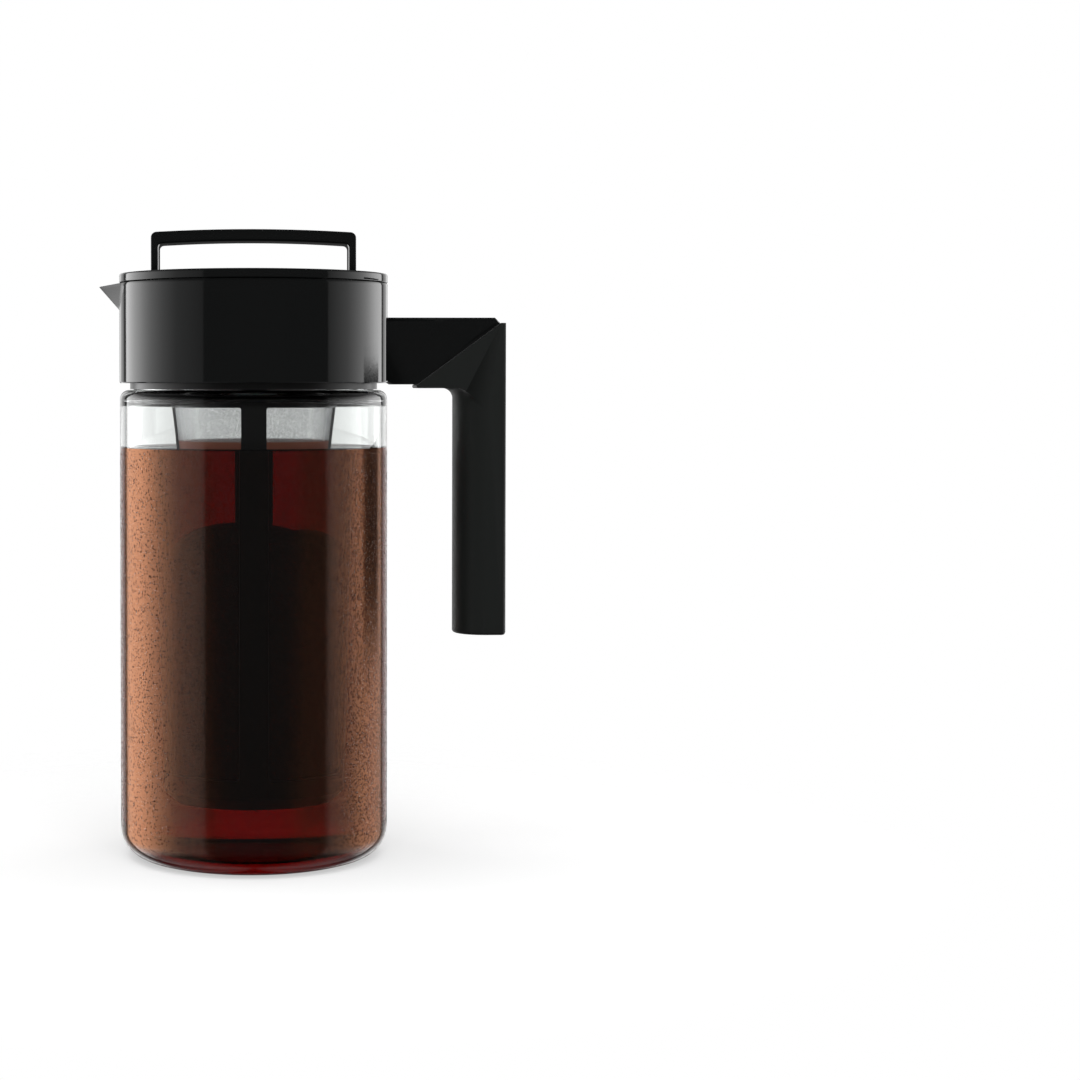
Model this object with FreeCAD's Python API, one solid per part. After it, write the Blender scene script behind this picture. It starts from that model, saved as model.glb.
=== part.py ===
import FreeCAD, Part
import math
import os

from FreeCAD import Vector

# Cold brew coffee maker: a clear jug with a black collar, handle and lid, and an
# infuser that hangs from the lid. Millimetres, +Z up, the jug's axis is Z and its
# base stands at z = 0. The spout points to -X, the handle to +X.

os.makedirs("parts", exist_ok=True)

# ---- Jug -------------------------------------------------------------------
jug_radius = 51.0            # outside of the straight wall
jug_wall = 3.0
jug_floor = 4.0              # thickness of the base
jug_base_round = 13.0        # outer radius between wall and base
jug_base_height = 17.0       # top of the piece that holds the rounded edge
shoulder_z = 177.0           # flat top of the shoulder
shoulder_round = 3.5
neck_wall = 3.0
neck_height = 21.0
bead_height = 0.9            # how far the snap bead stands out of the neck
bead_half_length = 1.3
bead_above_shoulder = 11.0
neck_ring_wall = 2.35
ring_inset = 1.2             # neck ring's ends, inside the collar
ring_lip_wall = 1.5          # its slimmer lip, seen between shoulder and collar

# ---- Collar and spout --------------------------------------------------------
collar_inset = 0.1           # the collar is this much slimmer than the jug
collar_wall = 3.0
collar_height = 37.6
collar_gap = 2.6             # open band between the shoulder and the collar
shelf_thickness = 2.2
shelf_overlap = 1.3          # how far the shelf reaches inside the neck
gasket_thickness = 1.2
spout_reach = 7.8            # from the collar's face to the tip
spout_half_width = 12.0      # at the collar
spout_depth = 11.6           # at the root, inside the collar's wall
spout_drop = 0.9             # the tip is this much lower than the spout's root
spout_step = 0.3             # the spout's root is this much below the rim
spout_wall = 1.6
spout_round = 1.6            # under the spout, at its root
spout_tip_scale = 0.12       # section at the tip, as a share of the root's
spout_overlap = 1.0          # how deep the spout's root starts inside the wall

# ---- Handle ------------------------------------------------------------------
arm_below_rim = 12.9         # from the collar's rim down to the arm's top
arm_depth = 25.2             # height of the arm
arm_width = 23.2
arm_corner = 2.0             # cut corner at the arm's outer end
arm_round = 1.4
arm_relief = 1.3             # chamfer under the arm, beside the collar
arm_stub = 10.6              # from the collar to the mitre, along the arm's underside
finger_space = 24.8          # between the jug and the grip
grip_width = 24.0
grip_flat = 7.4              # flat sides behind the half round
grip_lip = 2.2               # from the arm's end to the grip's back
grip_length = 120.1          # from the arm's top to the grip's end
grip_round = 1.8
grip_toe_round = 1.2
grip_drop = 1.4              # the sleeve's underside is this much below the arm
scoop_start = 1.6            # from the finger side to the start of the scoop
scoop_depth = 4.4
scoop_round = 3.8
core_width = 13.0
core_wall = 4.2              # sleeve left in front of and behind the core
core_end = 8.0               # sleeve left under the core
screw_radius = 1.5
screw_head_radius = 2.8
screw_head_height = 1.7
screw_length = 12.0
screw_spread = 9.0

# ---- Lid ---------------------------------------------------------------------
lid_thickness = 3.3
lid_rim_width = 3.6
lid_dish = 0.8
lid_round = 0.8              # on the lid's upper edge
plug_wall = 2.3
plug_clearance = 1.0         # between the plug's skirt and the collar's bore
plug_web = 2.2
groove_depth = 1.3
groove_height = 2.2
groove_below_top = 0.9
slot_width = 2.4
slot_height = 6.5
slot_count = 7               # in each of the two groups
slot_pitch = 6.5             # degrees
shelf_seal_height = 2.2
shelf_seal_width = 2.7
socket_bore = 33.0
socket_wall = 1.6
socket_floor_above_shelf = 2.5
socket_depth = 17.9
strap_inset = 12.3           # from the lid's edge to the strap
strap_width = 19.5
strap_height = 15.5          # from the lid's rim to the strap's shoulders
strap_leg = 2.7
strap_bar = 4.2
strap_crown = 1.1
strap_corner = 2.2
strap_inside_corner = 1.6
strap_crown_end = 1.0        # straight part between the crown's arc and each corner
strap_foot = 1.5             # depth of the pocket that holds each leg
boss_margin = 1.0
boss_height = 1.0
boss_round = 0.8

# ---- Infuser -----------------------------------------------------------------
cage_length = 149.0
cage_step = 0.8              # the cage is this much slimmer than the ring's spigot
cage_flare = 3.9             # gain in radius above the bend
cage_flare_height = 28.0     # from the bend up to the cage's top
cage_taper = 2.6             # gain in radius from the bottom to the bend
cage_wall = 2.0
rib_width = 9.3
window_sill = 6.0            # below the windows
window_head = 5.0            # above the windows
window_round = 1.6
mesh_thickness = 0.4
mesh_recess = 0.9
base_thickness = 2.2
base_depth = 5.0
base_round = 4.0
base_spigot = 3.0
ring_flange = 2.0
ring_skirt = 7.7             # ring's height under its flange
ring_wall = 2.8
infuser_seal_height = 1.6
seal_round = 0.73            # rounded edges of the O-ring

# ---- Clearances --------------------------------------------------------------
joint_gap = 0.12             # between pieces that are fixed to each other
seat_gap = 0.3               # between pieces that lift or turn
seam_gap = 0.22              # open mitre seam between arm and sleeve
small_round = 0.4            # softened moulded edge
smallest_arc = 1.0           # corners rounded by less than this are cut straight
cut_margin = 2.0             # cutting shapes run this far past the faces they cut
match_margin = 0.01          # for choosing edges by their place
same_point = 1e-6

# ---- Places that follow ------------------------------------------------------
jug_inside = jug_radius - jug_wall
jug_side_top = shoulder_z - jug_wall - shoulder_round
collar_radius = jug_radius - collar_inset
collar_bore = collar_radius - collar_wall
collar_bottom = shoulder_z + collar_gap
collar_top = collar_bottom + collar_height
neck_radius = collar_bore - neck_ring_wall - 2 * joint_gap
neck_top = shoulder_z + neck_height
neck_bore = neck_radius - neck_wall
bead_z = shoulder_z + bead_above_shoulder
shelf_bottom = neck_top + gasket_thickness
shelf_top = shelf_bottom + shelf_thickness
shelf_bore = neck_bore - shelf_overlap

lid_bottom = collar_top + seat_gap
lid_top = lid_bottom + lid_thickness
lid_field = lid_top - lid_dish
plug_radius = collar_bore - plug_clearance
plug_bottom = shelf_top + seat_gap + shelf_seal_height
socket_radius = socket_bore + socket_wall
socket_ceiling = shelf_top + socket_floor_above_shelf
socket_bottom = socket_ceiling - socket_depth
groove_top = lid_bottom - groove_below_top
groove_bottom = groove_top - groove_height

arm_top = collar_top - arm_below_rim
arm_bottom = arm_top - arm_depth
grip_inner = jug_radius + finger_space
grip_flat_start = grip_inner + grip_width / 2
grip_outer = grip_flat_start + grip_flat
grip_bottom = arm_top - grip_length
arm_reach = grip_outer - grip_lip
mitre_start = collar_radius + arm_stub
mitre_end_z = arm_top - arm_corner
mitre_slope = (mitre_end_z - arm_bottom) / (arm_reach - mitre_start)
mitre_drop = seam_gap * math.hypot(1.0, mitre_slope)
sleeve_underside = arm_bottom - grip_drop
core_inner = grip_inner + core_wall
core_outer = grip_outer - core_wall - joint_gap
core_bottom = grip_bottom + core_end

strap_half_span = collar_radius - strap_inset

flange_top = socket_bottom - seat_gap
ring_top = socket_ceiling - infuser_seal_height - seat_gap
spigot_radius = socket_bore - seat_gap
cage_top = flange_top - ring_flange - ring_skirt
cage_bottom = cage_top - cage_length
cage_bend_z = cage_top - cage_flare_height
cage_top_radius = spigot_radius - cage_step
cage_bend_radius = cage_top_radius - cage_flare
cage_bottom_radius = cage_bend_radius - cage_taper
cage_turn = math.atan(cage_flare / cage_flare_height) - math.atan(
    cage_taper / (cage_length - cage_flare_height)
)
cage_bend_round = (cage_flare_height - small_round) / math.tan(cage_turn / 2)
window_bottom = cage_bottom + window_sill
window_top = cage_top - window_head


# ---- Shape helpers -----------------------------------------------------------
def corner_arc(before, corner, after, radius):
    """Start, middle and end of the arc that rounds one corner of an outline."""
    to_before = (before - corner).normalize()
    to_after = (after - corner).normalize()
    half_angle = to_before.getAngle(to_after) / 2
    bisector = (to_before + to_after).normalize()
    centre = corner + bisector * (radius / math.sin(half_angle))
    reach = radius / math.tan(half_angle)
    return corner + to_before * reach, centre - bisector * radius, corner + to_after * reach


def outline(corners):
    """Closed wire in the XZ plane through (x, z) or (x, z, rounding radius) corners.

    A corner rounded by less than smallest_arc is cut straight across instead.
    """
    points = [Vector(corner[0], 0, corner[1]) for corner in corners]
    turns = []
    for index, corner in enumerate(corners):
        here = points[index]
        after = points[(index + 1) % len(points)]
        if len(corner) == 3:
            turns.append(corner_arc(points[index - 1], here, after, corner[2]))
        else:
            turns.append((here, None, here))
    edges = []
    for index, (start, middle, end) in enumerate(turns):
        if middle is not None and len(corners[index]) == 3 and corners[index][2] >= smallest_arc:
            edges.append(Part.Arc(start, middle, end).toShape())
        elif middle is not None:
            edges.append(Part.LineSegment(start, end).toShape())
        following = turns[(index + 1) % len(turns)][0]
        if following.distanceToPoint(end) > same_point:
            edges.append(Part.LineSegment(end, following).toShape())
    return Part.Wire(edges)


def turned(corners):
    """Solid of revolution about Z."""
    return Part.Face(outline(corners)).revolve(Vector(0, 0, 0), Vector(0, 0, 1), 360)


def slab(corners, width):
    """Outline in the XZ plane, extruded to both sides of it."""
    face = Part.Face(outline(corners))
    face.translate(Vector(0, -width / 2, 0))
    return face.extrude(Vector(0, width, 0))


def ring(inner, outer, bottom, top):
    """Plain ring of rectangular section."""
    return turned([(inner, bottom), (outer, bottom), (outer, top), (inner, top)])


def block(x0, x1, width, z0, z1):
    """Box centred on the XZ plane."""
    return Part.makeBox(x1 - x0, width, z1 - z0, Vector(x0, -width / 2, z0))


def about_axis(shape, angle):
    copy = shape.copy()
    copy.rotate(Vector(0, 0, 0), Vector(0, 0, 1), angle)
    return copy


def rounded_edges(shape, radius, chosen):
    """Fillet the edges that the test picks."""
    return shape.makeFillet(radius, [edge for edge in shape.Edges if chosen(edge)])


# ---- Jug and collar ----------------------------------------------------------
def jug_base():
    """Floor of the jug with its large rounded edge."""
    return turned([
        (0, 0),
        (jug_radius, 0, jug_base_round),
        (jug_radius, jug_base_height),
        (jug_inside, jug_base_height),
        (jug_inside, jug_floor, jug_base_round - jug_wall),
        (0, jug_floor),
    ])


def jug_side():
    return ring(jug_inside, jug_radius, jug_base_height, jug_side_top)


def jug_neck():
    """Shoulder and neck, with the bead that holds the retaining ring."""
    shoulder_inside = shoulder_z - jug_wall
    return turned([
        (jug_inside, jug_side_top),
        (jug_radius, jug_side_top),
        (jug_radius, shoulder_z, shoulder_round),
        (neck_radius, shoulder_z),
        (neck_radius, bead_z - bead_half_length),
        (neck_radius + bead_height, bead_z),
        (neck_radius, bead_z + bead_half_length),
        (neck_radius, neck_top),
        (neck_bore, neck_top),
        (neck_bore, shoulder_inside),
        (jug_inside - shoulder_round, shoulder_inside),
    ])


def neck_gasket():
    return ring(neck_bore + joint_gap, neck_radius - joint_gap, neck_top, shelf_bottom)


def neck_ring():
    """Retaining ring: its groove takes the neck's bead."""
    inner = neck_radius + joint_gap
    outer = collar_bore - joint_gap
    lip_bottom = shoulder_z + seat_gap
    return turned([
        (inner, lip_bottom),
        (inner + ring_lip_wall, lip_bottom),
        (inner + ring_lip_wall, collar_bottom + ring_inset),
        (outer, collar_bottom + ring_inset),
        (outer, neck_top - ring_inset),
        (inner, neck_top - ring_inset),
        (inner, bead_z + bead_half_length),
        (inner + bead_height, bead_z),
        (inner, bead_z - bead_half_length),
    ])


def spout_section(x, half_width, top, depth):
    """V section of the spout with a rounded bottom, in the plane at x."""
    wire = outline([(-half_width, top), (half_width, top), (0, top - depth, spout_round)])
    wire.rotate(Vector(0, 0, 0), Vector(0, 0, 1), 90)
    wire.translate(Vector(x, 0, 0))
    return wire


def tapered(section, root_x, apex_z):
    """Solid that runs from a root section to the same section made small at the tip."""
    tip_x = -(collar_radius + spout_reach)
    apex_x = root_x + (tip_x - root_x) / (1 - spout_tip_scale)
    tip = section.copy()
    tip.scale(spout_tip_scale, Vector(apex_x, 0, apex_z))
    return Part.makeLoft([section, tip], True, True)


def spout_body(root_x, root_top):
    section = spout_section(root_x, spout_half_width, root_top, spout_depth)
    return tapered(section, root_x, root_top - spout_drop / (1 - spout_tip_scale))


def spout_channel(root_x, root_top):
    """Space that the coffee runs through: out through the wall and along the spout."""
    depth = spout_depth - spout_wall
    half_width = spout_half_width * depth / spout_depth
    above = (root_top + spout_wall - (root_top - depth)) / depth
    section = spout_section(root_x, half_width * above, root_top + spout_wall, depth * above)
    channel = tapered(section, root_x, root_top - spout_drop / (1 - spout_tip_scale))
    doorway = Part.Face(section).extrude(Vector(collar_wall + cut_margin, 0, 0))
    return channel.fuse(doorway)


def screw_heights():
    middle = (collar_bottom + shelf_bottom) / 2
    return [middle - screw_spread / 2, middle + screw_spread / 2]


def screw_shape(head_radius, radius, start_x, length):
    """Countersunk screw along +X with its flat head at start_x."""
    slope_end = start_x + screw_head_height
    head = Part.makeCone(head_radius, radius, screw_head_height, Vector(start_x, 0, 0), Vector(1, 0, 0))
    shank = Part.makeCylinder(radius, length - screw_head_height, Vector(slope_end, 0, 0), Vector(1, 0, 0))
    return head.fuse(shank).removeSplitter()


def screws(grow):
    """The two handle screws; grow widens them to make their holes."""
    shapes = []
    for z in screw_heights():
        start = collar_bore + joint_gap - grow
        screw = screw_shape(screw_head_radius + grow, screw_radius + grow, start, screw_length + 2 * grow)
        screw.translate(Vector(0, 0, z))
        shapes.append(screw)
    return Part.makeCompound(shapes)


def collar():
    shell = turned([
        (collar_bore, collar_bottom),
        (collar_radius, collar_bottom, small_round),
        (collar_radius, collar_top),
        (collar_bore, collar_top),
    ])
    shell = about_axis(shell, 90)       # keeps the surface's seam away from the holes
    root_x = -(collar_bore + spout_overlap)
    root_top = collar_top - spout_step
    shell = shell.fuse(spout_body(root_x, root_top))
    shell = shell.cut(spout_channel(root_x, root_top))
    return shell.cut(screws(joint_gap))


def collar_shelf():
    """Inner ring that rests on the neck's gasket and carries the lid's seal."""
    return ring(shelf_bore, collar_bore - joint_gap, shelf_bottom, shelf_top)


# ---- Handle ------------------------------------------------------------------
def mitre_z(x):
    return arm_bottom + mitre_slope * (x - mitre_start)


def arm():
    """Horizontal arm: cut to the collar's curve at one end, mitred at the other."""
    inside_collar = collar_radius - collar_wall
    body = slab([
        (inside_collar, arm_bottom + arm_relief),
        (collar_radius - arm_relief / 2, arm_bottom + arm_relief),
        (collar_radius + arm_relief, arm_bottom),
        (mitre_start, arm_bottom),
        (arm_reach, mitre_end_z),
        (arm_reach - arm_corner, arm_top),
        (inside_collar, arm_top),
    ], arm_width)

    def on_top(edge):
        box = edge.BoundBox
        return box.YLength < match_margin and box.ZMin > mitre_end_z - match_margin

    body = rounded_edges(body, arm_round, on_top)
    return body.cut(Part.makeCylinder(collar_radius + joint_gap, arm_top + cut_margin))


def handle_frame():
    core = block(core_inner, core_outer, core_width, core_bottom, arm_top - arm_corner - arm_round)
    core = rounded_edges(core, arm_round, lambda edge: edge.BoundBox.ZLength > core_width)
    return arm().fuse(core).removeSplitter().cut(screws(joint_gap))


def grip_column():
    """Stem of the sleeve: half round towards the fingers, flat sides behind it."""
    height = sleeve_underside - grip_bottom
    half_round = Part.makeCylinder(
        grip_width / 2, height,
        Vector(grip_flat_start, 0, grip_bottom), Vector(0, 0, 1), 180,
    )
    half_round.rotate(Vector(grip_flat_start, 0, 0), Vector(0, 0, 1), 90)
    back = block(grip_flat_start, grip_outer, grip_width, grip_bottom, grip_bottom + height)
    return half_round.fuse(back).removeSplitter()


def gusset():
    """Upper part of the sleeve, with flat sides up to the mitre."""
    left = mitre_start - small_round / 2
    return slab([
        (left, sleeve_underside, small_round),
        (grip_inner + scoop_start, sleeve_underside),
        (grip_flat_start, sleeve_underside - scoop_depth),
        (grip_outer, sleeve_underside - scoop_depth),
        (grip_outer, mitre_end_z),
        (arm_reach + seam_gap, mitre_end_z),
        (arm_reach + seam_gap, mitre_z(arm_reach + seam_gap) - mitre_drop),
        (left, mitre_z(left) - mitre_drop),
    ], grip_width)


def on_scoop(edge):
    """Edge where the round stem meets the underside of the gusset."""
    box = edge.BoundBox
    above = box.ZMin > sleeve_underside - scoop_depth - match_margin
    below = box.ZMax < sleeve_underside + match_margin
    in_reach = box.XMin > grip_inner - match_margin and box.XMax < grip_flat_start + match_margin
    return above and below and in_reach and edge.Curve.TypeId != "Part::GeomLine"


def on_back(edge):
    box = edge.BoundBox
    return box.XMin > grip_outer - match_margin and box.ZLength > grip_width


def on_toe(edge):
    return edge.BoundBox.ZMax < grip_bottom + match_margin


def grip_sleeve():
    sleeve = grip_column().fuse(gusset()).removeSplitter()
    sleeve = rounded_edges(sleeve, scoop_round, on_scoop)
    sleeve = rounded_edges(sleeve, grip_round, on_back)
    sleeve = rounded_edges(sleeve, grip_toe_round, on_toe)
    pocket = block(
        core_inner - joint_gap, core_outer + joint_gap, core_width + 2 * joint_gap,
        core_bottom - joint_gap, arm_top,
    )
    pocket = rounded_edges(pocket, arm_round, lambda edge: edge.BoundBox.ZLength > core_width)
    return sleeve.cut(pocket)


# ---- Lid ---------------------------------------------------------------------
def strap_leg_box(side, margin, z0, z1):
    """Upright box round one leg of the strap."""
    middle = side * (strap_half_span - strap_leg / 2)
    half = strap_leg / 2 + margin
    return block(middle - half, middle + half, strap_width + 2 * margin, z0, z1)


def lid_cap():
    rim = collar_radius - lid_rim_width
    cap = turned([
        (0, lid_bottom),
        (collar_radius, lid_bottom, small_round),
        (collar_radius, lid_top, lid_round),
        (rim, lid_top, small_round),
        (rim - lid_dish, lid_field, small_round),
        (0, lid_field),
    ])
    for side in (-1, 1):
        boss = strap_leg_box(side, boss_margin, lid_field - small_round, lid_field + boss_height)
        boss = rounded_edges(boss, boss_round, lambda edge: edge.BoundBox.ZLength > boss_height)
        cap = cap.fuse(boss)
    cap = cap.removeSplitter()
    for side in (-1, 1):
        cap = cap.cut(strap_leg_box(side, joint_gap, lid_field - strap_foot, lid_top + boss_height))
    return cap


def lid_handle():
    """Strap with two upright legs and a slightly crowned bar."""
    foot = lid_field - strap_foot
    shoulder = lid_top + strap_height
    half = strap_half_span
    inner = half - strap_leg
    peak = shoulder + 2 * strap_crown
    crown_round = (half - strap_corner - strap_crown_end) * half / (2 * strap_crown)
    strap = slab([
        (-half, foot),
        (-half, shoulder, strap_corner),
        (0, peak, crown_round),
        (half, shoulder, strap_corner),
        (half, foot),
        (inner, foot),
        (inner, shoulder - strap_bar, strap_inside_corner),
        (0, peak - strap_bar, crown_round * (inner - strap_corner) / half),
        (-inner, shoulder - strap_bar, strap_inside_corner),
        (-inner, foot),
    ], strap_width)

    def on_side(edge):
        box = edge.BoundBox
        return box.YLength < match_margin and box.ZMax > lid_top

    return strap.makeChamfer(small_round, [edge for edge in strap.Edges if on_side(edge)])


def pour_slots():
    """Two groups of upright slots in the plug's skirt."""
    shapes = []
    bottom = plug_bottom + plug_web
    tool = Part.makeBox(
        plug_wall + 2 * cut_margin, slot_width, slot_height,
        Vector(plug_radius - plug_wall - cut_margin, -slot_width / 2, bottom),
    )
    for group in (90, 270):
        for index in range(slot_count):
            angle = group + (index - (slot_count - 1) / 2) * slot_pitch
            shapes.append(about_axis(tool, angle))
    return shapes


def lid_plug():
    """Skirt that stands in the collar, with the O-ring's groove and the pour slots."""
    skirt = turned([
        (plug_radius - plug_wall, plug_bottom),
        (plug_radius, plug_bottom),
        (plug_radius, groove_bottom),
        (plug_radius - groove_depth, groove_bottom),
        (plug_radius - groove_depth, groove_top),
        (plug_radius, groove_top),
        (plug_radius, lid_bottom),
        (plug_radius - plug_wall, lid_bottom),
    ])
    return skirt.cut(pour_slots())


def infuser_socket():
    """Threaded socket under the lid that takes the infuser's spigot."""
    return turned([
        (0, socket_ceiling),
        (socket_bore, socket_ceiling),
        (socket_bore, socket_bottom),
        (socket_radius, socket_bottom),
        (socket_radius, lid_bottom),
        (socket_bore, lid_bottom),
        (socket_bore, socket_ceiling + plug_web),
        (0, socket_ceiling + plug_web),
    ])


def lid_shelf_seal():
    outer = plug_radius - joint_gap
    bottom = shelf_top + seat_gap
    return turned([
        (outer - shelf_seal_width, bottom + small_round),
        (outer - shelf_seal_width / 2, bottom),
        (outer, bottom + small_round),
        (outer, plug_bottom),
        (outer - shelf_seal_width, plug_bottom),
    ])


def rim_seal():
    """O-ring of D section in the plug's groove."""
    gap = seat_gap / 2
    inner = plug_radius - groove_depth + seat_gap
    outer = collar_bore - seat_gap
    return turned([
        (inner, groove_bottom + gap),
        (outer, groove_bottom + gap, seal_round),
        (outer, groove_top - gap, seal_round),
        (inner, groove_top - gap),
    ])


# ---- Infuser -----------------------------------------------------------------
def cage_shell(outer_inset, inner_inset):
    """Flared tube that follows the cage's outer curve at two depths."""
    return turned([
        (cage_bottom_radius - outer_inset, cage_bottom),
        (cage_bend_radius - outer_inset, cage_bend_z, cage_bend_round),
        (cage_top_radius - outer_inset, cage_top),
        (cage_top_radius - inner_inset, cage_top),
        (cage_bend_radius - inner_inset, cage_bend_z, cage_bend_round),
        (cage_bottom_radius - inner_inset, cage_bottom),
    ])


def window_tool(inset):
    """Space between two ribs, from the X rib to the Y rib, with rounded corners."""
    near = rib_width / 2 + inset
    far = cage_top_radius * 2
    low = window_bottom + inset
    high = window_top - inset
    across = slab([
        (near, low, window_round),
        (far, low),
        (far, high),
        (near, high, window_round),
    ], 4 * far)
    return across.common(about_axis(across, 90))


def infuser_frame():
    """Four ribs that rise from the lowest band to the threaded ring."""
    height = window_top - cage_bottom
    frame = cage_shell(0, cage_wall).common(
        Part.makeCylinder(cage_top_radius, height, Vector(0, 0, cage_bottom))
    )
    for quarter in range(4):
        frame = frame.cut(about_axis(window_tool(0), 90 * quarter))
    return frame


def mesh_panel(quarter):
    sheet = cage_shell(mesh_recess, mesh_recess + mesh_thickness)
    return sheet.common(about_axis(window_tool(joint_gap), 90 * quarter))


def infuser_ring():
    """Threaded ring: spigot in the lid's socket, stop flange, band over the windows."""
    band_radius = cage_top_radius - cage_flare * window_head / cage_flare_height
    return turned([
        (band_radius - cage_wall, window_top),
        (band_radius, window_top),
        (cage_top_radius, cage_top),
        (cage_top_radius, flange_top - ring_flange),
        (socket_radius, flange_top - ring_flange),
        (socket_radius, flange_top),
        (spigot_radius, flange_top),
        (spigot_radius, ring_top),
        (spigot_radius - ring_wall, ring_top),
        (cage_top_radius - cage_wall, cage_top),
    ])


def infuser_seal():
    gap = seat_gap / 2
    return ring(spigot_radius - ring_wall, spigot_radius - joint_gap, ring_top + gap, socket_ceiling - gap)


def infuser_base():
    """Closed bottom with a spigot that stands inside the cage's lowest ring."""
    bottom = cage_bottom - base_depth
    spigot = cage_bottom_radius - cage_wall - joint_gap
    inside = spigot - cage_wall
    return turned([
        (0, bottom),
        (cage_bottom_radius - base_round, bottom),
        (cage_bottom_radius, bottom + base_round),
        (cage_bottom_radius, cage_bottom),
        (spigot, cage_bottom),
        (spigot, cage_bottom + base_spigot),
        (inside, cage_bottom + base_spigot),
        (inside, bottom + base_round),
        (inside - base_thickness, bottom + base_thickness),
        (0, bottom + base_thickness),
    ])


# ---- Write one file per node -------------------------------------------------
nodes = {
    "jug_base": jug_base(),
    "jug_side": jug_side(),
    "jug_neck": jug_neck(),
    "neck_gasket": neck_gasket(),
    "collar": collar(),
    "collar_shelf": collar_shelf(),
    "neck_ring": neck_ring(),
    "handle_frame": handle_frame(),
    "grip_sleeve": grip_sleeve(),
    "handle_screws": screws(0),
    "lid_cap": lid_cap(),
    "lid_handle": lid_handle(),
    "lid_plug": lid_plug(),
    "infuser_socket": infuser_socket(),
    "lid_shelf_seal": lid_shelf_seal(),
    "rim_seal": rim_seal(),
    "infuser_seal": infuser_seal(),
    "infuser_ring": infuser_ring(),
    "infuser_frame": infuser_frame(),
    "infuser_base": infuser_base(),
}
panel_places = ["back_right", "back_left", "front_left", "front_right"]
for quarter, place in enumerate(panel_places):
    nodes["mesh_panel_" + place] = mesh_panel(quarter)

for name, shape in nodes.items():
    shape.exportStep("parts/" + name + ".step")
    print(name, len(shape.Solids), round(shape.Volume / 1000, 2), "cm3", shape.isValid())
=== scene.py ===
import math

import bmesh
import bpy
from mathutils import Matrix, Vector


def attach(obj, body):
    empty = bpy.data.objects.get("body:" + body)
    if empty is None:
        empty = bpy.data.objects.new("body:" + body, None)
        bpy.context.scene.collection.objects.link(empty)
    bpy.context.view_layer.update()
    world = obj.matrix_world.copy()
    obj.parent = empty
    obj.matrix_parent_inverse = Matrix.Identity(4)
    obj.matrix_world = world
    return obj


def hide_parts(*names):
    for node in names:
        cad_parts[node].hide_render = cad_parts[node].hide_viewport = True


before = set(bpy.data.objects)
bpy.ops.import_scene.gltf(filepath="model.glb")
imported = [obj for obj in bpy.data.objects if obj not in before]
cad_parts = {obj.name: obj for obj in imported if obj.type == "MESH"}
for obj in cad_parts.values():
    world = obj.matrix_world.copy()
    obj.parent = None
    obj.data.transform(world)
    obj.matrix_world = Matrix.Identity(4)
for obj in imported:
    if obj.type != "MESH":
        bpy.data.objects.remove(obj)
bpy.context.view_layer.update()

MM = 0.001
FULL_TURN = 2 * math.pi
WELD = 1e-7                   # metres between points that are one point
SOLID_WELD = 2e-6             # the same in a solid's mesh

# ---- Sizes in millimetres ------------------------------------------------------------
# The jug. Its base corner and floor are finer here than in the solids.
jug_radius = 50.7             # leaves room for the condensation inside the solid's size
jug_inside = 48.0
jug_floor = 2.0
base_round = 11.0
base_wall = 2.4
dish_rise = 0.3               # the underside stands on a narrow foot
dish_radius = 34.0
dish_round = 60.0
foot_radius = 37.7
foot_round = 0.5
shoulder_z = 177.0
shoulder_round = 3.5
shoulder_wall = 3.0
neck_radius = 45.31
neck_bore = 42.31
neck_top = 198.0
neck_edge = 0.5
neck_fillet = 0.6
neck_inner_fillet = 1.0
bead_z = 188.0
bead_height = 0.9
bead_half = 1.3
bead_round = 0.3

# What the jug and the infuser hold.
liquid_z = 155.0
liquid_overlap = 0.12         # the coffee reaches into the wall, so that no air shows
meniscus = ((-liquid_overlap, 0.7), (0.25, 0.5), (0.9, 0.15), (2.2, 0.0))   # in from the wall, up
mist_gap = 0.03
mist_over = 0.4
mist_rows = 12
mist_lowest_turn = 80.0
drops_gap = 0.02
drops_low = 12.0
drops_below_liquid = 1.0
drop_smallest = 0.13
drop_largest = 0.34
grounds_low = 31.0
grounds_z = 124.0
grounds_gap = 0.6
heap_low = 100.0              # from here up the heap grows uneven
heap_radius = 24.6
heap_waves = ((3.2, 2, 0.6), (1.8, 5, 1.3))     # height, waves to the round, start
heap_swell = 4.0
heap_swell_turn = 2.2
heap_droop = 9.0
heap_peak = 1.0
cage_radius = 23.4
cage_flare = 2.6
cage_flare_low = 27.0
cage_flare_length = 121.0

# The collar and its spout.
collar_radius = 50.9
collar_bore = 47.9
collar_bottom = 179.6
collar_top = 217.2
collar_edge = 0.4
collar_rings = (190.0, 200.0)
collar_lip = ((0.12, 0.1), (0.35, 0.0))         # in from the wall, down from the top
spout_reach = 7.8
spout_half_width = 12.0
spout_low = 207.2
spout_drop = 1.1
spout_wall = 1.9
spout_narrowest = 0.3
spout_softness = 0.06         # of its tip, as a share of its half width

# The lid and its strap.
lid_bottom = 217.5
lid_top = 220.8
lid_field = 220.0
lid_rim_width = 3.6
lid_rim_slope = 0.8
lid_low_round = 0.35
lid_high_round = 0.7
lid_rim_round = 0.4
strap_half = 38.6
strap_leg = 2.7
strap_bar = 4.2
strap_shoulder = 236.3
strap_crown = 1.1
strap_straight = 1.0          # left between the crown's round and the corner's
strap_corner = 2.2
strap_inside_corner = 1.6
strap_width = 19.5
strap_foot = 218.5
strap_edge = 0.5
boss_height = 1.0
boss_margin = 1.0
boss_sink = 0.4
boss_edge = 0.6

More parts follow.
